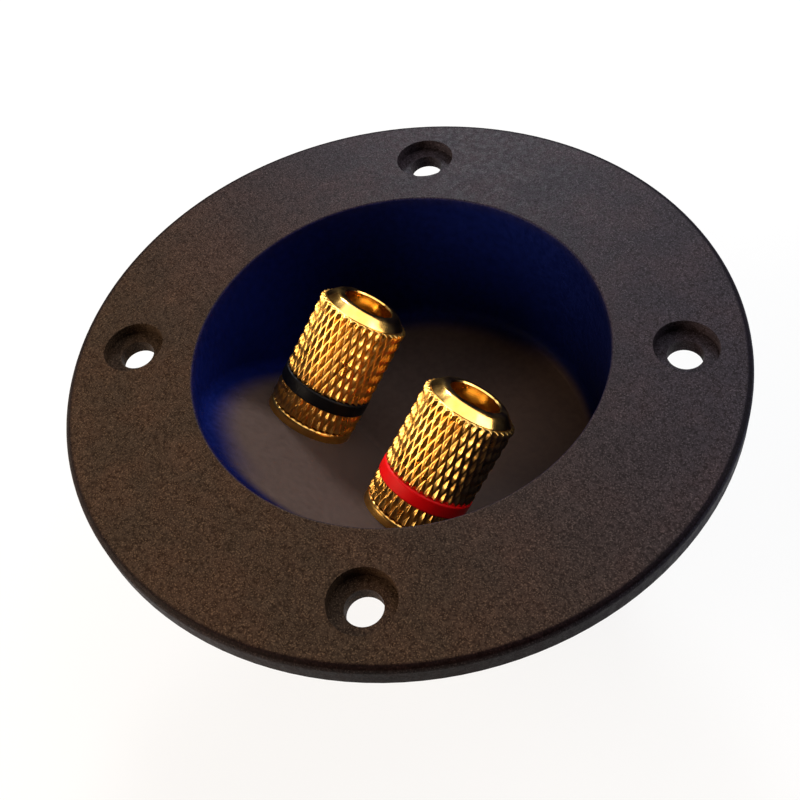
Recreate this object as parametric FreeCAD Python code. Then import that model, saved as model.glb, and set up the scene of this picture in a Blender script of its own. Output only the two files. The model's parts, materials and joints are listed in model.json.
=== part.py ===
import FreeCAD, Part
import math
import os

# Round recessed speaker terminal plate, in millimetres.
# +Z points out of the panel, +Y is the plate's own up, and the origin is the centre
# of the flange's rear face, which lies on the panel.

# Flange, its width measured from the mouth to its edge
flange_width = 14.5
flange_edge_thickness = 2.8
flange_rise = 0.6
flange_edge_round = 0.7
flange_rear_round = 0.25

# Recess that is moulded in one piece with the flange
mouth_radius = 23.0
mouth_edge_round = 0.25
recess_depth = 19.7
recess_draft = 3.0
recess_corner_round = 1.6
cup_wall = 2.0
cup_outer_round = 1.2
spigot_length = 3.0

# Slanted seat that carries the posts
seat_angle = 45.0
seat_drop = 0.4
seat_wall = 2.4

# Screw holes, set a little outwards from the middle of the flange's width
screw_offset = 0.45
screw_count = 4
screw_first_angle = 45.0
screw_hole_radius = 1.95
counterbore_radius = 3.5
counterbore_depth = 1.5

# Places of the posts on the seat, measured up the slope from where it meets the floor
post_spacing = 19.05
post_up_slope = 7.2

# Stem of a post, turned in one piece, sizes along its own axis from the seat
collar_radius = 5.4
collar_height = 1.1
collar_round = 0.4
stem_radius = 3.5
stem_top = 14.2
stem_tip_chamfer = 0.35
socket_radius = 2.0
socket_floor = 1.8
socket_chamfer = 0.4
wire_hole_radius = 1.25
wire_hole_height = 3.0
shank_radius = 2.5
shank_length = 9.6
shank_chamfer = 0.4
key_half_width = 2.1
key_length = 3.2
key_clearance = 0.1

# Knurled nut, turned, with a groove for its colour ring
nut_radius = 5.5
nut_gap = 0.15
nut_top = 16.4
nut_shoulder_radius = 4.95
nut_shoulder_height = 1.15
nut_shoulder_bevel = 1.05
nut_rim_round = 1.0
nut_foot_chamfer = 0.2
nut_throat_radius = 3.0
nut_throat_length = 1.8
nut_mouth_chamfer = 0.15
thread_clearance = 0.05
groove_low = 3.78
groove_high = 5.62
groove_radius = 4.7

# Diamond knurl, rolled over the whole nut before its groove and shoulder are turned
knurl_count = 36
knurl_row = 1.48
knurl_depth = 0.45
knurl_inset = 0.03
knurl_foot_land = 0.25
knurl_end_bevel = 0.2

# Colour ring
ring_radius = 5.52
ring_bore_clearance = 0.05
ring_side_clearance = 0.1
ring_round = 0.2

# Hardware behind the seat
washer_radius = 5.0
washer_thickness = 0.6
hole_clearance = 0.2
hex_across_flats = 8.0
hex_thickness = 2.0
hex_chamfer_angle = 30.0
hex_bore_clearance = 0.05
tag_ring_radius = 4.6
tag_thickness = 0.5
tag_width = 4.0
tag_reach = 6.8
tag_length = 9.0
tag_bend = 45.0
tag_hole_radius = 1.1
tag_hole_inset = 2.6
lock_washer_radius = 4.2
lock_washer_thickness = 0.9
lock_washer_slit = 0.7
lock_washer_slit_slope = 20.0

# Worked out from the sizes above
flange_radius = mouth_radius + flange_width
screw_circle_radius = mouth_radius + flange_width / 2 + screw_offset
front_height = flange_edge_thickness + flange_rise
floor_height = front_height - recess_depth
draft_slope = math.tan(math.radians(recess_draft))
seat_run = math.cos(math.radians(seat_angle))
seat_fall = math.sin(math.radians(seat_angle))
seat_top = FreeCAD.Vector(0, -mouth_radius, front_height - seat_drop)
seat_length = (recess_depth - seat_drop) / seat_fall
post_down_slope = seat_length - post_up_slope

# Cutting tools reach this far past the solid, faces that would coincide are kept this far
# apart, and a place is taken as the same within this distance
overlength = 5.0
seam = 1e-6
same_place = 1e-3

Z_AXIS = FreeCAD.Vector(0, 0, 1)
ORIGIN = FreeCAD.Vector(0, 0, 0)


def turned(profile):
    """Solid of revolution about Z from a closed outline of (radius, height) corners."""
    corners = [FreeCAD.Vector(radius, 0, height) for radius, height in profile]
    face = Part.Face(Part.makePolygon(corners + corners[:1]))
    return face.revolve(ORIGIN, Z_AXIS, 360)


def cylinder(radius, low, high):
    """Plain cylinder on Z between two heights."""
    return Part.makeCylinder(radius, high - low, FreeCAD.Vector(0, 0, low))


def flat_ring(inner, outer, low, high):
    """Flat ring on Z."""
    return turned([(inner, low), (outer, low), (outer, high), (inner, high)])


def round_edges(shape, radius, height):
    """Circular edges about Z with this radius at this height."""
    found = []
    for edge in shape.Edges:
        curve = edge.Curve
        if not isinstance(curve, Part.Circle):
            continue
        if abs(curve.Radius - radius) < same_place and abs(curve.Center.z - height) < same_place:
            found.append(edge)
    return found


def on_seat(shape, side):
    """Puts a piece modelled on its own Z axis at a post's place on the slanted seat."""
    place = seat_top + FreeCAD.Vector(
        side * post_spacing / 2,
        post_down_slope * seat_run,
        -post_down_slope * seat_fall,
    )
    turn = FreeCAD.Rotation(FreeCAD.Vector(1, 0, 0), -seat_angle)
    moved = shape.copy()
    moved.Placement = FreeCAD.Placement(place, turn)
    return moved


def above_seat(depth):
    """Block of space in front of a plane that lies this deep behind the seat's face."""
    reach = 4 * flange_radius
    block = Part.makeBox(reach, reach, reach, FreeCAD.Vector(-reach / 2, -reach / 2, -depth))
    turn = FreeCAD.Rotation(FreeCAD.Vector(1, 0, 0), -seat_angle)
    block.Placement = FreeCAD.Placement(seat_top, turn).multiply(block.Placement)
    return block


def edges_on_seat(shape):
    """Edges that lie in the plane of the seat's face."""
    normal = FreeCAD.Vector(0, seat_fall, seat_run)
    found = []
    for edge in shape.Edges:
        middle = edge.valueAt((edge.FirstParameter + edge.LastParameter) / 2)
        points = [vertex.Point for vertex in edge.Vertexes] + [middle]
        if all(abs((point - seat_top).dot(normal)) < same_place for point in points):
            found.append(edge)
    return found


def recess_space():
    """Open space of the recess: drafted bowl, flat floor and slanted seat, corners rounded."""
    top = front_height + overlength
    floor_radius = mouth_radius - recess_depth * draft_slope
    top_radius = mouth_radius + overlength * draft_slope
    bowl = Part.makeCone(floor_radius, top_radius, top - floor_height, FreeCAD.Vector(0, 0, floor_height))
    space = bowl.common(above_seat(0))
    corners = edges_on_seat(space) + round_edges(space, floor_radius, floor_height)
    return space.makeFillet(recess_corner_round, corners)


def cup_body():
    """Outside of the cup behind the flange, with a straight spigot that enters the panel."""
    spigot_radius = mouth_radius + cup_wall
    bottom = floor_height - cup_wall
    fall = -spigot_length - bottom
    base_radius = spigot_radius - fall * draft_slope
    body = Part.makeCone(base_radius, spigot_radius, fall, FreeCAD.Vector(0, 0, bottom))
    body = body.fuse(cylinder(spigot_radius, -spigot_length, flange_edge_thickness / 2)).removeSplitter()
    body = body.common(above_seat(seat_wall))
    corners = round_edges(body, base_radius, bottom)
    return body.makeFillet(cup_outer_round, corners)


def flange_body():
    """Flange with a shallow rise from its edge to the mouth."""
    body = turned([
        (0, 0),
        (flange_radius, 0),
        (flange_radius, flange_edge_thickness),
        (mouth_radius, front_height),
        (0, front_height),
    ])
    body = body.makeFillet(flange_edge_round, round_edges(body, flange_radius, flange_edge_thickness))
    return body.makeFillet(flange_rear_round, round_edges(body, flange_radius, 0))


def face_height(radius):
    """Height of the flange's front face at a radius."""
    share = (flange_radius - radius) / (flange_radius - mouth_radius)
    return flange_edge_thickness + flange_rise * share


def screw_holes():
    """Through holes with flat counterbores on the screw circle."""
    floor = face_height(screw_circle_radius) - counterbore_depth
    tool = cylinder(screw_hole_radius, -overlength, floor + seam)
    tool = tool.fuse(cylinder(counterbore_radius, floor, front_height + overlength))
    tools = []
    for number in range(screw_count):
        angle = math.radians(screw_first_angle + number * 360 / screw_count)
        hole = tool.copy()
        hole.translate(FreeCAD.Vector(math.cos(angle), math.sin(angle), 0) * screw_circle_radius)
        tools.append(hole)
    return tools


def keyed_hole():
    """Hole with two flats through the seat's wall, which stops a stem from turning."""
    hole = cylinder(shank_radius + key_clearance, -seat_wall - overlength, overlength)
    half = key_half_width + key_clearance
    reach = 2 * seat_wall + 2 * overlength
    slab = Part.makeBox(2 * half, reach, reach, FreeCAD.Vector(-half, -reach / 2, -reach / 2))
    return hole.common(slab)


def plate():
    """Flange and recessed cup, one moulding."""
    body = flange_body().fuse(cup_body()).removeSplitter()
    body = body.cut(recess_space())
    mouth = round_edges(body, mouth_radius, front_height)
    body = body.makeFillet(mouth_edge_round, mouth)
    tools = screw_holes() + [on_seat(keyed_hole(), side) for side in (-1, 1)]
    return body.cut(tools)


def stem():
    """Post's stem: socket and thread in front, collar on the seat, keyed shank behind."""
    body = turned([
        (0, -shank_length),
        (shank_radius - shank_chamfer, -shank_length),
        (shank_radius, -shank_length + shank_chamfer),
        (shank_radius, 0),
        (collar_radius, 0),
        (collar_radius, collar_height),
        (stem_radius, collar_height),
        (stem_radius, stem_top - stem_tip_chamfer),
        (stem_radius - stem_tip_chamfer, stem_top),
        (0, stem_top),
    ])
    body = body.makeFillet(collar_round, round_edges(body, collar_radius, collar_height))
    socket = turned([
        (0, socket_floor),
        (socket_radius, socket_floor),
        (socket_radius, stem_top - socket_chamfer),
        (socket_radius + socket_chamfer + seam, stem_top + seam),
        (0, stem_top + seam),
    ])
    wire_hole = Part.makeCylinder(
        wire_hole_radius,
        4 * stem_radius,
        FreeCAD.Vector(-2 * stem_radius, 0, wire_hole_height),
        FreeCAD.Vector(1, 0, 0),
    )
    reach = 2 * shank_radius
    flats = []
    for side in (-1, 1):
        near = key_half_width if side > 0 else -key_half_width - reach
        corner = FreeCAD.Vector(near, -reach / 2, -key_length)
        flats.append(Part.makeBox(reach, reach, key_length, corner))
    return body.cut([socket, wire_hole] + flats)


def knurled_bar(low, high):
    """Closed bar whose outside is a diamond knurl of four-sided points, made facet by facet."""
    rows = math.ceil((high - low) / knurl_row)
    step = 2 * math.pi / knurl_count
    crest = nut_radius - knurl_inset
    root = crest - knurl_depth

    def point(radius, place, row):
        angle = (place + (row % 2) / 2) * step
        return FreeCAD.Vector(radius * math.cos(angle), radius * math.sin(angle), low + row * knurl_row)

    def facet(corners):
        return Part.Face(Part.makePolygon(corners + corners[:1]))

    faces = []
    for row in range(rows + 1):
        for place in range(knurl_count):
            peak = point(crest, place + 0.5, row)
            left = point(root, place, row)
            right = point(root, place + 1, row)
            next_place = place + (row % 2)
            if row < rows:
                above = point(root, next_place, row + 1)
                faces += [facet([peak, right, above]), facet([peak, above, left])]
            if row > 0:
                below = point(root, next_place, row - 1)
                faces += [facet([peak, left, below]), facet([peak, below, right])]
    for row in (0, rows):
        outline = []
        for place in range(knurl_count):
            outline.append(point(root, place, row))
            outline.append(point(crest, place + 0.5, row))
        faces.append(facet(outline))
    shell = Part.Shell(faces)
    shell.sewShape()
    return Part.Solid(shell)


def nut_bore():
    """Space inside the nut: thread bore, throat for a plug and a countersunk mouth."""
    foot = collar_height + nut_gap
    shoulder = nut_top - nut_throat_length
    return turned([
        (0, foot - overlength),
        (stem_radius + thread_clearance, foot - overlength),
        (stem_radius + thread_clearance, shoulder),
        (nut_throat_radius, shoulder),
        (nut_throat_radius, nut_top - nut_mouth_chamfer),
        (nut_throat_radius + nut_mouth_chamfer + seam, nut_top + seam),
        (0, nut_top + seam),
    ])


def nut_blank():
    """Outside of the nut as turned: chamfered foot and a conical shoulder that rounds over on top."""
    foot = collar_height + nut_gap
    neck = nut_top - nut_shoulder_height
    rim_radius = nut_shoulder_radius - nut_shoulder_bevel
    body = turned([
        (0, foot),
        (nut_radius - nut_foot_chamfer, foot),
        (nut_radius, foot + nut_foot_chamfer),
        (nut_radius, neck - knurl_end_bevel),
        (nut_shoulder_radius, neck),
        (nut_shoulder_radius, nut_top - nut_shoulder_bevel),
        (rim_radius, nut_top),
        (0, nut_top),
    ])
    return body.makeFillet(nut_rim_round, round_edges(body, rim_radius, nut_top))


def knurled_nut():
    """Thumb nut: knurled outside up to a smooth shoulder, with a groove for a colour ring."""
    knurl_low = collar_height + nut_gap + knurl_foot_land
    bar = knurled_bar(knurl_low, nut_top)
    foot = cylinder(nut_radius + overlength, knurl_low - overlength, knurl_low)
    body = nut_blank().common(bar.fuse(foot))
    groove = flat_ring(groove_radius, nut_radius + overlength, groove_low, groove_high)
    return body.cut([groove, nut_bore()])


def colour_ring():
    """Plastic ring that marks the post, loose in the nut's groove."""
    low = groove_low + ring_side_clearance
    high = groove_high - ring_side_clearance
    inner = groove_radius + ring_bore_clearance
    body = turned([(inner, low), (ring_radius, low), (ring_radius, high), (inner, high)])
    edges = round_edges(body, ring_radius, low) + round_edges(body, ring_radius, high)
    return body.makeFillet(ring_round, edges)


def flat_washer(top):
    """Washer that presses on the back of the seat."""
    return flat_ring(shank_radius + hole_clearance, washer_radius, top - washer_thickness, top)


def hex_nut(top):
    """Hexagon nut with both faces chamfered."""
    corner = hex_across_flats / math.sqrt(3)
    points = []
    for number in range(6):
        angle = math.radians(30 + 60 * number)
        points.append(FreeCAD.Vector(corner * math.cos(angle), corner * math.sin(angle), top - hex_thickness))
    block = Part.Face(Part.makePolygon(points + points[:1])).extrude(Z_AXIS * hex_thickness)
    flat = hex_across_flats / 2
    fall = (corner - flat) * math.tan(math.radians(hex_chamfer_angle))
    low = top - hex_thickness
    rounded = turned([
        (0, low),
        (flat, low),
        (corner, low + fall),
        (corner, top - fall),
        (flat, top),
        (0, top),
    ])
    bore = cylinder(shank_radius + hex_bore_clearance, low - seam, top + seam)
    return block.common(rounded).cut(bore)


def solder_tag(top):
    """Ring tag with a tongue that is bent to point straight back from the plate."""
    low = top - tag_thickness
    ring = cylinder(tag_ring_radius, low, top)
    neck = Part.makeBox(tag_width, tag_reach, tag_thickness, FreeCAD.Vector(-tag_width / 2, 0, low))
    tongue = Part.makeBox(tag_width, tag_length, tag_thickness, FreeCAD.Vector(-tag_width / 2, 0, -tag_thickness))
    end = Part.makeCylinder(tag_width / 2, tag_thickness, FreeCAD.Vector(0, tag_length, -tag_thickness))
    eye = cylinder(tag_hole_radius, -overlength, overlength)
    eye.translate(FreeCAD.Vector(0, tag_length + tag_width / 2 - tag_hole_inset, 0))
    tongue = tongue.fuse(end).cut(eye)
    hinge = FreeCAD.Vector(0, tag_reach, top)
    tongue.Placement = FreeCAD.Placement(hinge, FreeCAD.Rotation(FreeCAD.Vector(1, 0, 0), -tag_bend))
    bore = cylinder(shank_radius + hole_clearance, low - seam, top + seam)
    return ring.fuse([neck, tongue]).removeSplitter().cut(bore)


def lock_washer(top):
    """Spring washer, pressed flat, with its slanted slit."""
    body = flat_ring(shank_radius + hole_clearance, lock_washer_radius, top - lock_washer_thickness, top)
    reach = 2 * lock_washer_thickness
    slit = Part.makeBox(
        lock_washer_slit,
        2 * lock_washer_radius,
        2 * reach,
        FreeCAD.Vector(-lock_washer_slit / 2, 0, -reach),
    )
    tilt = FreeCAD.Rotation(FreeCAD.Vector(0, 1, 0), lock_washer_slit_slope)
    centre = FreeCAD.Vector(0, 0, top - lock_washer_thickness / 2)
    slit.Placement = FreeCAD.Placement(centre, tilt).multiply(slit.Placement)
    return body.cut(slit)


def post_pieces(colour):
    """Every piece of one post on its own axis, by node name."""
    washer_top = -seat_wall
    first_nut_top = washer_top - washer_thickness
    tag_top = first_nut_top - hex_thickness
    lock_top = tag_top - tag_thickness
    last_nut_top = lock_top - lock_washer_thickness
    return {
        colour + "_stem": stem(),
        colour + "_knurled_nut": knurled_nut(),
        colour + "_ring": colour_ring(),
        colour + "_flat_washer": flat_washer(washer_top),
        colour + "_clamp_nut": hex_nut(first_nut_top),
        colour + "_solder_tag": solder_tag(tag_top),
        colour + "_lock_washer": lock_washer(lock_top),
        colour + "_tag_nut": hex_nut(last_nut_top),
    }


def main():
    os.makedirs("parts", exist_ok=True)
    nodes = {"plate": plate()}
    for colour, side in (("red", 1), ("black", -1)):
        for name, shape in post_pieces(colour).items():
            nodes[name] = on_seat(shape, side)
    for name, shape in nodes.items():
        print(name, "solids", len(shape.Solids), "valid", shape.isValid(), "volume", round(shape.Volume, 1))
        shape.exportStep("parts/" + name + ".step")


main()
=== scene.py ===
import json
import logging
import math
from dataclasses import dataclass, field
from enum import Enum

import bmesh
import bpy
from mathutils import Matrix, Vector


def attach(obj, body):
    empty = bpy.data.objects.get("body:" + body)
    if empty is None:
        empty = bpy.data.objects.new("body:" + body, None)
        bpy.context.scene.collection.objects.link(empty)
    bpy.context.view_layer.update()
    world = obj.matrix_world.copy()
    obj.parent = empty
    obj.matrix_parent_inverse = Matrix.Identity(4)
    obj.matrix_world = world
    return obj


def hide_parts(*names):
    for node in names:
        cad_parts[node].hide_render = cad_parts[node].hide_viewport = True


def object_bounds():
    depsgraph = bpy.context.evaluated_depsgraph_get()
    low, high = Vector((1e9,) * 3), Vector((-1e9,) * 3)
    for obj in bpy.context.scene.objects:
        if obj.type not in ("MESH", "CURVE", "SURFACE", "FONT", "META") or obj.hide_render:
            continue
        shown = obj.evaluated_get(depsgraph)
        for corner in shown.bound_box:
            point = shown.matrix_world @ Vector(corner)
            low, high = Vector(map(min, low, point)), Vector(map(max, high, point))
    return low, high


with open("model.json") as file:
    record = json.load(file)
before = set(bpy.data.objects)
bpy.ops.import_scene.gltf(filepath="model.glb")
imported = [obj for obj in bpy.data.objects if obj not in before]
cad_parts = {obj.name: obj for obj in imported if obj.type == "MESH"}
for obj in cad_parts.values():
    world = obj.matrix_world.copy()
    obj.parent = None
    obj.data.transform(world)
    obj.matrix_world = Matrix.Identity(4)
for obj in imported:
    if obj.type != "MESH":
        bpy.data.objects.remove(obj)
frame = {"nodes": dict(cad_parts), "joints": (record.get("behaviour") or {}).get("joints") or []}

# Visual model of a round, recessed speaker terminal plate with two knurled binding posts.
# Lengths are in millimetres until a mesh is put in its place, and metres from there on.

CAD_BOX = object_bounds()
MM = 0.001
LOG = logging.getLogger("terminal_plate")

Colour = tuple[float, float, float]
Range = tuple[float, float]
Socket = bpy.types.NodeSocket
WHITE: Colour = (1.0, 1.0, 1.0)

# Points closer than this are taken as one, and a cut has to reach this far into the metal
SAME_PLACE = 1e-4
MARGIN = 0.01


class PostColour(Enum):
    """The two posts, by the colour of their rings."""

    RED = "red"
    BLACK = "black"


# Finishes


class NodeBench:
    """Short way to add and join the nodes of one procedural material."""

    def __init__(self, name: str) -> None:
        """Starts a material with a principled shader.

        Args:
            name: the material's name.
        """
        self.material = bpy.data.materials.new(name)
        self.material.use_nodes = True
        self.tree = self.material.node_tree
        self.shader = self.tree.nodes["Principled BSDF"]
        self.output = self.tree.nodes["Material Output"]
        self.place = self.add("ShaderNodeTexCoord").outputs["Object"]

    def add(self, kind: str, **settings: object) -> bpy.types.Node:
        """Adds a node.

        Args:
            kind: the node's type.
            settings: attributes of the node, set as they are given.

        Returns:
            The new node.
        """
        node = self.tree.nodes.new(kind)
        for name, value in settings.items():
            setattr(node, name, value)
        return node

    def join(self, source: Socket, target: Socket) -> None:
        """Links two sockets.

        Args:
            source: the socket that gives the value.
            target: the socket that takes it.
        """
        self.tree.links.new(source, target)

    def feed(self, target: Socket, value: object) -> None:
        """Gives a socket its value.

        Args:
            target: the socket that takes it.
            value: another socket, a number or a colour.
        """
        if isinstance(value, bpy.types.NodeSocket):
            self.join(value, target)
        elif isinstance(value, tuple):
            target.default_value = (*value, 1.0)
        else:
            target.default_value = value

    def math(self, operation: str, first: object, second: object) -> Socket:
        """Adds a sum of two values.

        Args:
            operation: the sum, such as MULTIPLY.
            first: a socket or a number.
            second: a socket or a number.

        Returns:
            The result's socket.
        """
        node = self.add("ShaderNodeMath", operation=operation)
        for socket, value in zip(node.inputs, (first, second)):
            self.feed(socket, value)
        return node.outputs[0]

    def blend(self, first: Socket, second: Socket, share: float) -> Socket:
        """Adds two values by their shares.

        Args:
            first: the first value.
            second: the second value.
            share: the first value's share, between 0 and 1.

        Returns:
            The sum's socket.
        """
        return self.math(
            "ADD",
            self.math("MULTIPLY", first, share),
            self.math("MULTIPLY", second, 1 - share),
        )

    def split(self, place: Socket) -> dict[str, Socket]:
        """Takes coordinates apart.

        Args:
            place: the coordinates, in metres.

        Returns:
            The sockets X, Y and Z, and REACH, the distance from the Z axis.
        """
        apart = self.add("ShaderNodeSeparateXYZ")
        self.join(place, apart.inputs[0])
        flat = self.add("ShaderNodeCombineXYZ")
        for name in ("X", "Y"):
            self.join(apart.outputs[name], flat.inputs[name])
        length = self.add("ShaderNodeVectorMath", operation="LENGTH")
        self.join(flat.outputs[0], length.inputs[0])
        sockets = {name: apart.outputs[name] for name in ("X", "Y", "Z")}
        sockets["REACH"] = length.outputs["Value"]
        return sockets

    def noise(self, place: Socket, size: float, detail: float = 2.0, rough: float = 0.5) -> Socket:
        """Adds a noise with grains of one size.

        Args:
            place: the coordinates it is read at, in metres.
            size: the grain's size in millimetres.
            detail: how many finer layers it has.
            rough: how strong the finer layers are.

        Returns:
            The noise's value, about 0.5 on average.
        """
        node = self.add("ShaderNodeTexNoise")
        node.inputs["Scale"].default_value = 1 / (size * MM)
        node.inputs["Detail"].default_value = detail
        node.inputs["Roughness"].default_value = rough
        self.join(place, node.inputs["Vector"])
        return node.outputs["Fac"]

    def ramp(self, value: Socket, places: tuple[float, ...], *colours: Colour) -> Socket:
        """Adds a row of colours that a value runs through.

        Args:
            value: the value that is looked up.
            places: one place between 0 and 1 for each colour.
            colours: the colours.

        Returns:
            The colour's socket.
        """
        node = self.add("ShaderNodeValToRGB")
        elements = node.color_ramp.elements
        while len(elements) < len(places):
            elements.new(0.5)
        for element, place, colour in zip(elements, places, colours):
            element.position = place
            element.color = (*colour, 1.0)
        self.join(value, node.inputs["Fac"])
        return node.outputs["Color"]

    def span(self, value: Socket, source: Range, result: Range = (0.0, 1.0)) -> Socket:
        """Adds a smooth step of a value from one range to another.

        Args:
            value: the value that is mapped.
            source: where the step begins and ends.
            result: what it gives there.

        Returns:
            The result's socket.
        """
        node = self.add("ShaderNodeMapRange", interpolation_type="SMOOTHSTEP")
        names = ("From Min", "From Max", "To Min", "To Max")
        for name, number in zip(names, (*source, *result)):
            node.inputs[name].default_value = number
        self.join(value, node.inputs["Value"])
        return node.outputs["Result"]

    def mix(self, share: object, first: object, second: object, way: str = "MIX") -> Socket:
        """Adds a mix of two colours.

        Args:
            share: the second colour's share.
            first: the first colour.
            second: the second colour.
            way: how they are mixed.

        Returns:
            The mixed colour's socket.
        """
        node = self.add("ShaderNodeMix", data_type="RGBA", blend_type=way)
        for name, value in (("Factor", share), ("A", first), ("B", second)):
            self.feed(node.inputs[name], value)
        return node.outputs["Result"]

    def tone(self, colour: Socket, **changes: Socket) -> Socket:
        """Adds a change of a colour's brightness or strength.

        Args:
            colour: the colour.
            changes: the factors, called Value and Saturation.

        Returns:
            The changed colour's socket.
        """
        node = self.add("ShaderNodeHueSaturation")
        self.join(colour, node.inputs["Color"])
        for name, factor in changes.items():
            self.join(factor, node.inputs[name])
        return node.outputs["Color"]

    def bump(self, height: Socket, depth: float) -> Socket:
        """Adds a relief to the surface.

        Args:
            height: the relief, between 0 and 1.
            depth: its depth in millimetres.

        Returns:
            The normal's socket.
        """
        node = self.add("ShaderNodeBump")
        node.inputs["Strength"].default_value = 1.0
        node.inputs["Distance"].default_value = depth * MM
        self.join(height, node.inputs["Height"])
        return node.outputs["Normal"]

    def set(self, **values: object) -> None:
        """Sets the shader's own sockets.

        Args:
            values: what each socket gets, with _ for a space in the sockets' names.
        """
        for name, value in values.items():
            self.feed(self.shader.inputs[name.replace("_", " ")], value)


def metres(values: Range) -> Range:
    """Turns a range of lengths in millimetres into metres."""
    return tuple(value * MM for value in values)


def around(middle: float, less: float, more: float) -> Range:
    """Range that reaches a little below and above a value."""
    return (middle - less, middle + more)


def shades(colour: Colour, *factors: float) -> tuple[Colour, ...]:
    """Darker and brighter shades of a colour, one for each factor."""
    return tuple(tuple(factor * value for value in colour) for factor in factors)


@dataclass(frozen=True)
class ErodedPlastic:
    """Charcoal moulded plastic: spark-eroded grain on the flange, smoother in the recess.

    Lengths are in millimetres. A range says where a smooth step or a row of colours starts
    and stops. Some colours are painted light: a warm-to-cool change across the flange, a dark
    rounded edge as painted shade, a bluish sheen on the side and a blue on the recess wall as painted
    reflection, bright specks as painted glints, and a wider dark band on the seat's left as painted shade.
    """

    mouth_radius: float = 23.0
    mouth_height: float = 3.4
    outer_radius: float = 37.5
    draft: float = 3.0
    mouth_range: Range = (-0.1, 0.25)
    grain: float = 0.28
    grain_depth: float = 0.03
    grain_detail: float = 1.5
    grain_rough: float = 0.6
    grain_share: float = 0.7
    grain_range: Range = (0.36, 0.62)
    recess_grain: float = 0.14
    pit_scale: float = 2.6
    pit_range: Range = (0.3, 0.7)
    # painted glints: bright specks on the flange's grain stand in for glints of light on it
    painted_glint_scale: float = 0.5
    painted_glint_range: Range = (0.58, 0.78)
    cloud: float = 6.0
    cloud_detail: float = 3.0
    dark: Colour = (0.022, 0.015, 0.013)
    light: Colour = (0.06, 0.045, 0.042)
    # colour of the painted glint specks
    painted_glint: Colour = (0.11, 0.085, 0.075)
    # painted light: the flange goes from warm towards -Y to cool towards +Y, standing in for warm and cool
    # lamps on either side
    painted_warm_light: Colour = (0.78, 0.62, 0.42)
    painted_cool_light: Colour = (0.58, 0.62, 0.86)
    painted_light_range: Range = (-24.0, 24.0)
    # painted shade darkens the flange's rounded outer edge, and a painted bluish sheen dims and blues its
    # side
    painted_edge_shade: Colour = (0.2, 0.16, 0.25)
    painted_side_sheen: Colour = (0.42, 0.5, 0.8)
    painted_edge_range: Range = (-1.0, 0.1)
    painted_edge_places: tuple[float, ...] = (0.05, 0.35, 0.8, 0.88)
    seat: Colour = (0.072, 0.048, 0.04)
    # the wall's blue is a painted bluish reflection on the dark plastic, and the wall is brighter on the
    # left as painted light
    wall: Colour = (0.001, 0.003, 0.036)
    wall_painted_light_span: Range = (18.0, -18.0)
    wall_painted_light_tone: Range = (0.5, 1.7)
    # the wall's dark blue runs onto the seat beside it; on the left it reaches further, as painted shade
    painted_shade_side: Range = (4.0, -5.0)
    narrow_band: Range = (0.35, 1.6)
    painted_shade_band: Range = (0.6, 3.8)
    roughness: float = 0.5
    specular: float = 0.04

    def flange_colour(self, bench: NodeBench, at: dict[str, Socket], grain: Socket) -> Socket:
        """Colours the grained flange, its rounded edge and its side.

        Args:
            bench: the material's nodes.
            at: the coordinates taken apart.
            grain: the grain's height.

        Returns:
            The colour's socket.
        """
        # bright specks on the grain, painted glints
        painted_glint_noise = bench.noise(bench.place, self.grain * self.painted_glint_scale, detail=0.0)
        cloud = bench.noise(bench.place, self.cloud, detail=self.cloud_detail)
        skin = bench.ramp(grain, self.grain_range, self.dark, self.light)
        with_painted_glints = bench.mix(bench.span(painted_glint_noise, self.painted_glint_range), skin, self.painted_glint)
        toned = bench.tone(
            with_painted_glints,
            Value=bench.span(cloud, (0.3, 0.7), (0.88, 1.12)),
            Saturation=bench.span(cloud, (0.35, 0.65), (0.85, 1.15)),
        )
        # painted light: warm towards -Y, cool towards +Y, multiplied into the flange's colour
        across = bench.span(at["Y"], metres(self.painted_light_range))
        painted_light_tint = bench.ramp(across, (0.0, 1.0), self.painted_warm_light, self.painted_cool_light)
        with_painted_light = bench.mix(1.0, toned, painted_light_tint, "MULTIPLY")
        # painted shade on the rounded edge, then a painted bluish sheen on the side
        near, far = self.painted_edge_range
        painted_edge_mask = bench.span(at["REACH"], metres((self.outer_radius + near, self.outer_radius + far)))
        rim = (WHITE, self.painted_edge_shade, self.painted_edge_shade, self.painted_side_sheen)
        return bench.mix(1.0, with_painted_light, bench.ramp(painted_edge_mask, self.painted_edge_places, *rim), "MULTIPLY")

    def recess_colour(self, bench: NodeBench, at: dict[str, Socket], pits: Socket) -> Socket:
        """Colours the recess: its wall, with a band of the seat beside it, and the seat.

        Args:
            bench: the material's nodes.
            at: the coordinates taken apart.
            pits: the coarse part of the grain.

        Returns:
            The colour's socket.
        """
        slope = math.tan(math.radians(self.draft))
        fall = bench.math("SUBTRACT", self.mouth_height * MM, at["Z"])
        wall_radius = bench.math("SUBTRACT", self.mouth_radius * MM, bench.math("MULTIPLY", fall, slope))
        gap = bench.math("SUBTRACT", wall_radius, at["REACH"])
        # painted shade: on the left the wall's dark blue reaches further onto the seat
        painted_shade_left = bench.span(at["X"], metres(self.painted_shade_side))
        narrow = bench.span(gap, metres(self.narrow_band))
        broad_painted_shade = bench.span(gap, metres(self.painted_shade_band))
        wider_painted_shade = bench.math("MULTIPLY", painted_shade_left, bench.math("SUBTRACT", broad_painted_shade, narrow))
        seat_past_painted_shade = bench.math("ADD", narrow, wider_painted_shade)
        # painted light: the wall is brighter on the left and darker on the right; its blue is a painted
        # reflection
        wall = bench.tone(
            bench.ramp(pits, self.pit_range, *shades(self.wall, 0.8, 1.2)),
            Value=bench.span(at["X"], metres(self.wall_painted_light_span), self.wall_painted_light_tone),
        )
        seat = bench.ramp(pits, self.pit_range, *shades(self.seat, 0.9, 1.1))
        return bench.mix(seat_past_painted_shade, wall, seat)

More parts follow.
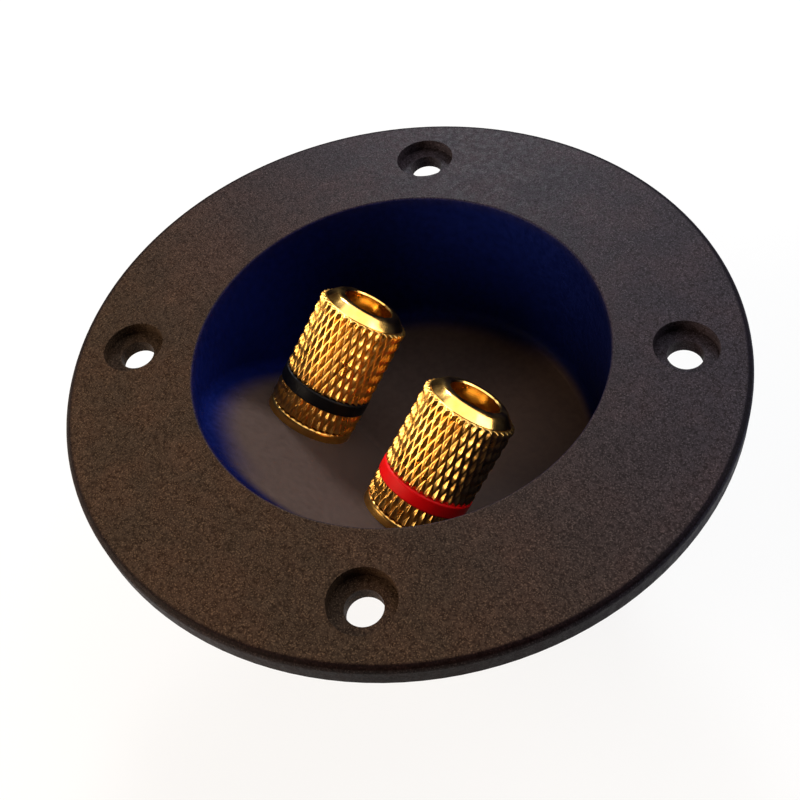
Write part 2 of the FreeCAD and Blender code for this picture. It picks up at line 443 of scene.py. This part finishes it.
    def material(self) -> bpy.types.Material:
        """Builds the material.

        Returns:
            The finished material.
        """
        bench = NodeBench("charcoal_eroded_plastic")
        at = bench.split(bench.place)
        near, far = self.mouth_range
        outside = bench.span(at["REACH"], metres((self.mouth_radius + near, self.mouth_radius + far)))
        fine = bench.noise(bench.place, self.grain, detail=self.grain_detail, rough=self.grain_rough)
        pits = bench.noise(bench.place, self.grain * self.pit_scale)
        grain = bench.blend(fine, pits, self.grain_share)
        recess = self.recess_colour(bench, at, pits)
        flange = self.flange_colour(bench, at, grain)
        colour = bench.mix(outside, recess, flange)
        weight = bench.math("MULTIPLY", outside, 1 - self.recess_grain)
        height = bench.math("MULTIPLY", grain, bench.math("ADD", weight, self.recess_grain))
        bench.set(
            Base_Color=colour,
            Normal=bench.bump(height, self.grain_depth),
            Roughness=bench.span(pits, self.pit_range, around(self.roughness, 0.07, 0.09)),
            Specular_IOR_Level=self.specular,
        )
        return bench.material


@dataclass(frozen=True)
class TurnedMetal:
    """Plated metal that was turned on a lathe, with fine rings about its own axis.

    Lengths are in millimetres.
    """

    name: str
    bright: Colour
    deep: Colour
    roughness: float = 0.2
    ring_pitch: float = 0.12
    ring_depth: float = 0.0012
    ring_slope: float = 0.83
    cloud: float = 1.6
    cloud_share: float = 0.7
    dust: float = 0.09
    dust_roughness: float = 0.04
    knurl_range: Range = (4.96, 5.02)
    duller_knurl: float = 0.13

    def material(self, seat: Vector, turn: float, suffix: str) -> bpy.types.Material:
        """Builds the material for the pieces on one axis.

        Args:
            seat: the axis's foot, in metres.
            turn: the axis's turn about X, in radians.
            suffix: what tells this axis's material from the other's.

        Returns:
            The finished material.
        """
        bench = NodeBench(f"{self.name}_{suffix}")
        centred = bench.add("ShaderNodeMapping", vector_type="TEXTURE")
        centred.inputs["Location"].default_value = seat
        centred.inputs["Rotation"].default_value = (turn, 0, 0)
        bench.join(bench.place, centred.inputs["Vector"])
        at = bench.split(centred.outputs[0])
        along = bench.math("ADD", at["Z"], bench.math("MULTIPLY", at["REACH"], self.ring_slope))
        line = bench.add("ShaderNodeCombineXYZ")
        bench.join(along, line.inputs["Z"])
        rings = bench.noise(line.outputs[0], self.ring_pitch, detail=1.0)
        cloud = bench.noise(bench.place, self.cloud, detail=3.0)
        dust = bench.noise(bench.place, self.dust, detail=1.0)
        tone = bench.blend(cloud, dust, self.cloud_share)
        rough = bench.math(
            "ADD",
            bench.span(cloud, (0.3, 0.7), around(self.roughness, 0.03, 0.05)),
            bench.math("MULTIPLY", dust, self.dust_roughness),
        )
        knurl = bench.span(at["REACH"], metres(self.knurl_range), (0.0, self.duller_knurl))
        bench.set(
            Base_Color=bench.ramp(tone, (0.35, 0.65), self.deep, self.bright),
            Roughness=bench.math("ADD", rough, knurl),
            Normal=bench.bump(rings, self.ring_depth),
            Metallic=1.0,
        )
        return bench.material


@dataclass(frozen=True)
class SheetMetal:
    """Plated or tinned sheet and spring metal with a faint cloudy finish and drawn lines.

    Lengths are in millimetres.
    """

    name: str
    bright: Colour
    deep: Colour
    roughness: float = 0.3
    cloud: float = 1.2
    stroke: float = 0.35
    stroke_depth: float = 0.003
    stroke_stretch: tuple[float, float, float] = (6.0, 1.0, 1.0)

    def material(self) -> bpy.types.Material:
        """Builds the material.

        Returns:
            The finished material.
        """
        bench = NodeBench(self.name)
        cloud = bench.noise(bench.place, self.cloud, detail=4.0, rough=0.6)
        drawn = bench.add("ShaderNodeMapping")
        drawn.inputs["Scale"].default_value = self.stroke_stretch
        bench.join(bench.place, drawn.inputs["Vector"])
        lines = bench.noise(drawn.outputs[0], self.stroke)
        bench.set(
            Base_Color=bench.ramp(cloud, (0.3, 0.7), self.deep, self.bright),
            Roughness=bench.span(cloud, (0.3, 0.7), around(self.roughness, 0.06, 0.1)),
            Normal=bench.bump(lines, self.stroke_depth),
            Metallic=1.0,
        )
        return bench.material


@dataclass(frozen=True)
class RingPlastic:
    """Smooth coloured plastic of a marking ring.

    Lengths are in millimetres.
    """

    name: str
    colour: Colour
    roughness: float = 0.36
    specular: float = 0.2
    cloud: float = 1.8
    ripple: float = 0.22
    ripple_depth: float = 0.004
    darker: float = 0.86

    def material(self) -> bpy.types.Material:
        """Builds the material.

        Returns:
            The finished material.
        """
        bench = NodeBench(self.name)
        cloud = bench.noise(bench.place, self.cloud, detail=3.0)
        ripples = bench.noise(bench.place, self.ripple, detail=1.0)
        bench.set(
            Base_Color=bench.ramp(cloud, (0.3, 0.7), *shades(self.colour, self.darker, 1.0)),
            Roughness=bench.span(cloud, (0.3, 0.7), around(self.roughness, 0.04, 0.06)),
            Normal=bench.bump(ripples, self.ripple_depth),
            Specular_IOR_Level=self.specular,
        )
        return bench.material


GOLD = TurnedMetal("gold_plate", bright=(0.98, 0.6, 0.17), deep=(0.9, 0.46, 0.09), roughness=0.15)
ZINC = SheetMetal("zinc_plated_steel", bright=(0.66, 0.66, 0.65), deep=(0.5, 0.5, 0.5), roughness=0.32)
TIN = SheetMetal("tinned_brass", bright=(0.78, 0.77, 0.75), deep=(0.62, 0.61, 0.58), roughness=0.36)
RINGS = {
    PostColour.RED: RingPlastic("red_ring_plastic", colour=(0.98, 0.003, 0.005), roughness=0.42),
    PostColour.BLACK: RingPlastic("black_ring_plastic", colour=(0.004, 0.004, 0.006), roughness=0.42),
}


def dress(item: bpy.types.Object, material: bpy.types.Material) -> None:
    """Gives every slot of an object one material.

    Args:
        item: the object.
        material: the material.
    """
    if not item.material_slots:
        item.data.materials.append(material)
    for slot in item.material_slots:
        slot.material = material


# Shaping


class Section:
    """Half section of a turned piece, drawn point by point as (radius, height) in millimetres."""

    def __init__(self, radius: float, height: float) -> None:
        """Starts the section at a point."""
        self.points: list[tuple[float, float]] = [(radius, height)]

    def to(self, radius: float, height: float, parts: int = 1) -> "Section":
        """Adds a straight run.

        Args:
            radius: the run's end.
            height: the run's end.
            parts: how many equal pieces it is divided into.

        Returns:
            The section, so that runs can be chained.
        """
        r0, z0 = self.points[-1]
        for step in range(1, parts + 1):
            share = step / parts
            self.points.append((r0 + (radius - r0) * share, z0 + (height - z0) * share))
        return self

    def arc(self, centre: Range, radius: float, start: float, end: float, parts: int) -> "Section":
        """Adds an arc.

        Args:
            centre: the arc's centre.
            radius: the arc's radius.
            start: its first angle in degrees, from the radial direction towards +height.
            end: its last angle.
            parts: how many chords it has.

        Returns:
            The section, so that runs can be chained.
        """
        for step in range(1, parts + 1):
            angle = math.radians(start + (end - start) * step / parts)
            self.points.append((centre[0] + radius * math.cos(angle), centre[1] + radius * math.sin(angle)))
        return self

    def spun(self, columns: int) -> bmesh.types.BMesh:
        """Turns the section once about Z.

        Args:
            columns: how many columns of faces go round.

        Returns:
            The mesh, closed, with its faces outwards.
        """
        mesh = bmesh.new()
        verts = [mesh.verts.new((radius, 0, height)) for radius, height in self.points]
        pairs = list(zip(verts, verts[1:]))
        if self.points[0][0] > 0:
            pairs.append((verts[-1], verts[0]))
        edges = [mesh.edges.new(pair) for pair in pairs]
        bmesh.ops.spin(
            mesh,
            geom=verts + edges,
            cent=(0, 0, 0),
            axis=(0, 0, 1),
            angle=2 * math.pi,
            steps=columns,
            use_merge=True,
            use_duplicate=False,
        )
        bmesh.ops.remove_doubles(mesh, verts=mesh.verts, dist=1e-5)
        bmesh.ops.recalc_face_normals(mesh, faces=mesh.faces)
        return mesh


def shade(mesh: bmesh.types.BMesh, crease: float = 32.0) -> None:
    """Shades a mesh smooth, apart from its creases.

    Args:
        mesh: the mesh.
        crease: the angle in degrees from which an edge stays sharp.
    """
    limit = math.radians(crease)
    for face in mesh.faces:
        face.smooth = True
    for edge in mesh.edges:
        if len(edge.link_faces) == 2:
            edge.smooth = edge.calc_face_angle() < limit


def finished(mesh: bmesh.types.BMesh, name: str, place: Matrix) -> bpy.types.Object:
    """Puts a mesh in its place and makes it an object at the origin.

    Args:
        mesh: the mesh in millimetres on its own axis.
        name: the piece's name.
        place: where it goes, in metres.

    Returns:
        The object, linked to the scene.
    """
    bmesh.ops.transform(mesh, matrix=place @ Matrix.Scale(MM, 4), verts=mesh.verts)
    data = bpy.data.meshes.new(name)
    mesh.to_mesh(data)
    mesh.free()
    item = bpy.data.objects.new(name, data)
    bpy.context.scene.collection.objects.link(item)
    return item


# Plate


@dataclass
class Plate:
    """The flange and its recessed cup, one moulding, which keeps its CAD shape."""

    finish: ErodedPlastic = field(default_factory=ErodedPlastic)

    def build(self) -> list[str]:
        """Dresses the moulding.

        Returns:
            The names of the pieces.
        """
        dress(frame["nodes"]["plate"], self.finish.material())
        return ["plate"]


# Binding posts


@dataclass
class Knurl:
    """Diamond knurl of two crossing families of V grooves."""

    count: int = 36
    row: float = 1.48
    start: float = 1.5
    crest_radius: float = 5.5
    root_radius: float = 5.02
    flat: float = 0.12
    cells: int = 6

    @property
    def columns(self) -> int:
        """Columns of faces round the nut, a whole number to each half diamond."""
        return 2 * self.count * self.cells

    def radius(self, angle: float, height: float) -> float:
        """Radius of the knurled surface.

        Args:
            angle: round the axis, in radians.
            height: along the axis, in millimetres.

        Returns:
            The radius in millimetres.
        """
        around = angle / (2 * math.pi) * self.count
        along = (height - self.start) / self.row / 2
        share = min(abs(value - round(value)) * 2 for value in (around + along, around - along))
        depth = self.crest_radius - self.root_radius
        return self.root_radius + depth * min(1.0, share / (1 - self.flat))


@dataclass
class ThumbNut:
    """Knurled nut with a groove for its colour ring and a round shoulder."""

    foot: float = 1.25
    top: float = 16.4
    radius: float = 5.5
    foot_chamfer: float = 0.2
    groove_low: float = 3.78
    groove_high: float = 5.62
    groove_radius: float = 4.7
    shoulder_radius: float = 4.95
    shoulder_height: float = 1.15
    shoulder_bevel: float = 1.05
    rim_round: float = 1.0
    knurl_bevel: float = 0.2
    neck_rows: int = 4
    rim_rows: int = 8
    throat_radius: float = 3.0
    throat_length: float = 1.8
    mouth_chamfer: float = 0.15
    bore_radius: float = 3.55
    knurl: Knurl = field(default_factory=Knurl)

    def section(self) -> Section:
        """Half section of the nut, with rows of points where the knurl is cut.

        Returns:
            The closed section.
        """
        step = self.knurl.row / self.knurl.cells
        neck = self.top - self.shoulder_height
        lower = round((self.groove_low - self.foot - self.foot_chamfer) / step)
        upper = round((neck - self.knurl_bevel - self.groove_high) / step)
        line = Section(self.bore_radius, self.foot)
        line.to(self.radius - self.foot_chamfer, self.foot)
        line.to(self.radius, self.foot + self.foot_chamfer)
        line.to(self.radius, self.groove_low, lower)
        line.to(self.groove_radius, self.groove_low)
        line.to(self.groove_radius, self.groove_high)
        line.to(self.radius, self.groove_high)
        line.to(self.radius, neck - self.knurl_bevel, upper)
        line.to(self.shoulder_radius, neck, self.neck_rows)
        line.to(self.shoulder_radius, self.top - self.shoulder_bevel)
        inwards = self.rim_round * math.tan(math.radians(45 / 2))
        rim = self.shoulder_radius - self.shoulder_bevel - inwards
        line.arc((rim, self.top - self.rim_round), self.rim_round, 45, 90, self.rim_rows)
        line.to(self.throat_radius + self.mouth_chamfer, self.top)
        line.to(self.throat_radius, self.top - self.mouth_chamfer)
        line.to(self.throat_radius, self.top - self.throat_length)
        line.to(self.bore_radius, self.top - self.throat_length)
        return line

    def knurl_outside(self, mesh: bmesh.types.BMesh) -> None:
        """Presses the knurl into the outside and joins the grooves' floors edge to edge.

        Args:
            mesh: the plain nut on its own axis.
        """
        floors = []
        for vert in mesh.verts:
            x, y, z = vert.co
            reach = math.hypot(x, y)
            if reach <= self.groove_radius + MARGIN:
                continue
            wanted = self.knurl.radius(math.atan2(y, x), z)
            if wanted < reach:
                vert.co = (x * wanted / reach, y * wanted / reach, z)
                if wanted < self.knurl.root_radius + MARGIN:
                    floors.append(vert)
        bmesh.ops.connect_verts(mesh, verts=floors)

    def build(self, name: str, place: Matrix) -> bpy.types.Object:
        """Builds the nut.

        Args:
            name: the piece's name.
            place: its post's place, in metres.

        Returns:
            The nut.
        """
        mesh = self.section().spun(self.knurl.columns)
        shade(mesh)
        self.knurl_outside(mesh)
        return finished(mesh, name, place)


@dataclass
class Thread:
    """Screw thread cut into a turned piece."""

    pitch: float
    depth: float
    low: float
    high: float
    rows_per_pitch: int = 12
    crest: float = 0.14
    flank: float = 0.72

    @property
    def rows(self) -> int:
        """Rows of faces along the thread."""
        return round((self.high - self.low) / self.pitch * self.rows_per_pitch)

    def cut(self, mesh: bmesh.types.BMesh, major: float) -> None:
        """Cuts the thread into the points that lie on its cylinder.

        Args:
            mesh: the piece on its own axis.
            major: the cylinder's radius.
        """
        for vert in mesh.verts:
            x, y, z = vert.co
            reach = math.hypot(x, y)
            inside = self.low - SAME_PLACE <= z <= self.high + SAME_PLACE
            if abs(reach - major) > SAME_PLACE or not inside:
                continue
            turn = z / self.pitch - math.atan2(y, x) / (2 * math.pi)
            share = abs(turn - round(turn)) * 2
            cut = self.depth * min(1.0, max(0.0, (share - self.crest) / self.flank))
            runout = min(1.0, (z - self.low) / self.pitch, (self.high - z) / self.pitch)
            shorter = (major - cut * max(0.0, runout)) / reach
            vert.co = (x * shorter, y * shorter, z)


@dataclass
class Stem:
    """Threaded stem of a post: plug socket, cross hole and collar in front, keyed shank behind."""

    collar_radius: float = 5.4
    collar_height: float = 1.1
    collar_round: float = 0.4
    radius: float = 3.5
    top: float = 14.2
    tip_chamfer: float = 0.35
    socket_radius: float = 2.0
    socket_floor: float = 1.8
    socket_chamfer: float = 0.4
    wire_hole_radius: float = 1.25
    wire_hole_height: float = 3.0
    shank_radius: float = 2.5
    shank_length: float = 9.6
    shank_chamfer: float = 0.4
    key_half_width: float = 2.1
    key_length: float = 3.2
    columns: int = 96
    drill_columns: int = 48
    collar_rows: int = 6
    crease: float = 40.0
    pitch: float = 1.0
    thread_depth: float = 0.45
    front_relief: float = 0.3
    rear_relief: float = 0.1

    def threads(self) -> tuple[Thread, Thread]:
        """The front and rear threads."""
        front_low = self.collar_height + self.front_relief
        rear_low = self.shank_chamfer - self.shank_length
        front = Thread(self.pitch, self.thread_depth, front_low, self.top - self.tip_chamfer)
        rear = Thread(self.pitch, self.thread_depth, rear_low, -self.key_length - self.rear_relief)
        return front, rear

    def section(self) -> Section:
        """Half section of the stem, with rows of points where its threads are cut.

        Returns:
            The section, from the axis behind to the axis in the socket.
        """
        front, rear = self.threads()
        line = Section(0, -self.shank_length)
        line.to(self.shank_radius - self.shank_chamfer, -self.shank_length)
        line.to(self.shank_radius, rear.low)
        line.to(self.shank_radius, rear.high, rear.rows)
        line.to(self.shank_radius, -self.key_length)
        line.to(self.shank_radius, 0)
        line.to(self.collar_radius, 0)
        centre = (self.collar_radius - self.collar_round, self.collar_height - self.collar_round)
        line.to(self.collar_radius, centre[1])
        line.arc(centre, self.collar_round, 0, 90, self.collar_rows)
        line.to(self.radius, self.collar_height)
        line.to(self.radius, front.low)
        line.to(self.radius, front.high, front.rows)
        line.to(self.radius - self.tip_chamfer, self.top)
        line.to(self.socket_radius + self.socket_chamfer, self.top)
        line.to(self.socket_radius, self.top - self.socket_chamfer)
        line.to(self.socket_radius, self.socket_floor)
        line.to(0, self.socket_floor)
        return line

    def flatten_key(self, mesh: bmesh.types.BMesh) -> None:
        """Flattens two sides of the shank where it passes through the seat.

        Args:
            mesh: the stem on its own axis.
        """
        for vert in mesh.verts:
            in_seat = -self.key_length - SAME_PLACE <= vert.co.z <= SAME_PLACE
            if in_seat and vert.co.xy.length < self.shank_radius + MARGIN:
                vert.co.x = max(-self.key_half_width, min(self.key_half_width, vert.co.x))

    def drill(self, item: bpy.types.Object, place: Matrix) -> None:
        """Drills the wire's cross hole.

        Args:
            item: the stem.
            place: its post's place, in metres.
        """
        drill = bmesh.new()
        across = Matrix.Translation((0, 0, self.wire_hole_height)) @ Matrix.Rotation(math.pi / 2, 4, "Y")
        bmesh.ops.create_cone(
            drill,
            cap_ends=True,
            segments=self.drill_columns,
            radius1=self.wire_hole_radius,
            radius2=self.wire_hole_radius,
            depth=4 * self.radius,
            matrix=across,
        )
        bit = finished(drill, "drill_bit", place)
        cut = item.modifiers.new("cross_hole", "BOOLEAN")
        cut.operation = "DIFFERENCE"
        cut.solver = "EXACT"
        cut.object = bit
        bpy.context.view_layer.update()
        evaluated = item.evaluated_get(bpy.context.evaluated_depsgraph_get())
        drilled = bpy.data.meshes.new_from_object(evaluated)
        item.modifiers.remove(cut)
        item.data = drilled
        bpy.data.objects.remove(bit)

    def build(self, name: str, place: Matrix) -> bpy.types.Object:
        """Builds the stem.

        Args:
            name: the piece's name.
            place: its post's place, in metres.

        Returns:
            The stem.
        """
        mesh = self.section().spun(self.columns)
        front, rear = self.threads()
        front.cut(mesh, self.radius)
        rear.cut(mesh, self.shank_radius)
        self.flatten_key(mesh)
        shade(mesh, self.crease)
        item = finished(mesh, name, place)
        self.drill(item, place)
        return item


@dataclass
class BindingPost:
    """One post with its nut, ring and the hardware behind the seat."""

    colour: PostColour
    pivot_height: float = 8.0
    stem: Stem = field(default_factory=Stem)
    nut: ThumbNut = field(default_factory=ThumbNut)

    def __post_init__(self) -> None:
        """Finds the post's place from the joint that its nut turns on."""
        wanted = f"{self.colour.value}_nut_turn"
        joint = next(item for item in frame["joints"] if item["name"] == wanted)
        axis = Vector(joint["axis"]).normalized()
        self.seat = Vector(joint["pos_m"]) - axis * self.pivot_height * MM
        self.turn = -math.atan2(axis.y, axis.z)
        self.place = Matrix.Translation(self.seat) @ Matrix.Rotation(self.turn, 4, "X")

    def node(self, piece: str) -> bpy.types.Object:
        """Finds the CAD node of one of this post's pieces.

        Args:
            piece: the piece's name without the colour.

        Returns:
            The node.
        """
        return frame["nodes"][f"{self.colour.value}_{piece}"]

    def build(self) -> list[str]:
        """Builds the stem and the nut and dresses every piece.

        Returns:
            The names of the pieces.
        """
        prefix = self.colour.value
        gold = GOLD.material(self.seat, self.turn, prefix)
        stem = self.stem.build(f"{prefix}_threaded_stem", self.place)
        nut = self.nut.build(f"{prefix}_thumb_nut", self.place)
        for item, body, node in ((stem, "root", "stem"), (nut, f"{prefix}_nut", "knurled_nut")):
            dress(item, gold)
            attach(item, body)
            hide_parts(f"{prefix}_{node}")
        for piece in ("flat_washer", "clamp_nut", "tag_nut"):
            dress(self.node(piece), gold)
        dress(self.node("ring"), RINGS[self.colour].material())
        dress(self.node("lock_washer"), ZINC.material())
        dress(self.node("solder_tag"), TIN.material())
        return [stem.name, nut.name]


# Studio


@dataclass
class Lamp:
    """Soft rectangular lamp that looks at the plate."""

    name: str
    place: tuple[float, float, float]
    size: tuple[float, float]
    power: float
    colour: Colour = (1.0, 1.0, 1.0)

    def build(self) -> None:
        """Hangs the lamp."""
        data = bpy.data.lights.new(self.name, "AREA")
        data.shape = "RECTANGLE"
        data.size, data.size_y = self.size
        data.energy = self.power
        data.color = self.colour
        item = bpy.data.objects.new(self.name, data)
        item.location = self.place
        item.rotation_euler = (-Vector(self.place)).to_track_quat("-Z", "Y").to_euler()
        bpy.context.scene.collection.objects.link(item)


@dataclass
class Studio:
    """Pale floor, soft lamps and an even surround."""

    floor_size: float = 6.0
    floor_gap: float = 0.3
    floor_white: float = 0.82
    floor_cloud: float = 60.0
    floor_shades: Range = (0.88, 0.92)
    floor_roughness: float = 0.9
    surround: Colour = (0.02, 0.012, 0.016)
    lamps: tuple[Lamp, ...] = (
        Lamp("window", (-0.392, 0.33, 0.31), (0.11, 0.11), 2.2, (0.88, 0.94, 1.0)),
        Lamp("soft_box", (-0.02, 0.26, 0.31), (0.46, 0.42), 1.3, (0.97, 0.98, 1.0)),
        Lamp("front", (-0.1, -0.235, 0.12), (0.22, 0.17), 1.05, (1.0, 0.8, 0.58)),
        Lamp("left", (-0.38, -0.3, 0.1), (0.5, 0.2), 1.2, (1.0, 0.88, 0.72)),
        Lamp("glint", (0.22, 0.346, 0.17), (0.09, 0.28), 0.4, (1.0, 1.0, 1.0)),
    )

    def floor(self) -> bpy.types.Object:
        """Lays the floor under the lowest piece.

        Returns:
            The floor.
        """
        mesh = bmesh.new()
        bmesh.ops.create_grid(mesh, x_segments=1, y_segments=1, size=self.floor_size / 2)
        level = CAD_BOX[0][2] - self.floor_gap * MM
        bmesh.ops.translate(mesh, vec=(0, 0, level), verts=mesh.verts)
        data = bpy.data.meshes.new("floor")
        mesh.to_mesh(data)
        mesh.free()
        item = bpy.data.objects.new("floor", data)
        bpy.context.scene.collection.objects.link(item)
        bench = NodeBench("pale_floor")
        cloud = bench.noise(bench.place, self.floor_cloud)
        bench.set(
            Base_Color=bench.ramp(cloud, (0.3, 0.7), *shades(WHITE, *self.floor_shades)),
            Roughness=self.floor_roughness,
            Specular_IOR_Level=0.0,
        )
        white = bench.add("ShaderNodeEmission")
        path = bench.add("ShaderNodeLightPath")
        seen = bench.math("MAXIMUM", path.outputs["Is Camera Ray"], path.outputs["Is Glossy Ray"])
        seen = bench.math("MAXIMUM", seen, path.outputs["Is Transmission Ray"])
        blend = bench.add("ShaderNodeMixShader")
        bench.join(bench.math("MULTIPLY", seen, self.floor_white), blend.inputs[0])
        bench.join(bench.shader.outputs[0], blend.inputs[1])
        bench.join(white.outputs[0], blend.inputs[2])
        bench.join(blend.outputs[0], bench.output.inputs["Surface"])
        dress(item, bench.material)
        return item

    def build(self) -> None:
        """Sets up the floor, the lamps and the surround."""
        self.floor()
        for lamp in self.lamps:
            lamp.build()
        world = bpy.data.worlds.new("surround")
        bpy.context.scene.world = world
        world.use_nodes = True
        background = world.node_tree.nodes["Background"]
        background.inputs["Color"].default_value = (*self.surround, 1.0)
        background.inputs["Strength"].default_value = 1.0
        bpy.context.scene.view_settings.view_transform = "Standard"


@dataclass
class PhotoCamera:
    """Camera at the photograph's viewing angle."""

    aim: tuple[float, float, float] = (6.18, -4.577, 3.441)
    distance: float = 115.9
    azimuth: float = 61.35
    elevation: float = 52.1
    roll: float = -12.64
    lens: float = 49.69
    sensor: float = 36.0
    nearest: float = 0.005
    farthest: float = 20.0

    def build(self) -> None:
        """Stands the camera up and makes it the scene's."""
        data = bpy.data.cameras.new("photo_camera")
        data.lens = self.lens
        data.sensor_width = self.sensor
        data.clip_start = self.nearest
        data.clip_end = self.farthest
        turn = math.radians(self.azimuth)
        up = math.radians(self.elevation)
        back = Vector((math.sin(turn) * math.cos(up), -math.cos(turn) * math.cos(up), math.sin(up)))
        item = bpy.data.objects.new("photo_camera", data)
        item.location = (Vector(self.aim) + back * self.distance) * MM
        level = (-back).to_track_quat("-Z", "Y").to_matrix().to_4x4()
        item.rotation_euler = (level @ Matrix.Rotation(math.radians(self.roll), 4, "Z")).to_euler()
        bpy.context.scene.collection.objects.link(item)
        bpy.context.scene.camera = item


def main() -> None:
    """Builds the plate, the posts and the studio, and reports each piece."""
    logging.basicConfig(level=logging.INFO, format="%(message)s")
    pieces = Plate().build()
    for colour in PostColour:
        pieces += BindingPost(colour).build()
    Studio().build()
    PhotoCamera().build()
    for piece in pieces:
        LOG.info("built %s", piece)


if __name__ == "__main__":
    main()
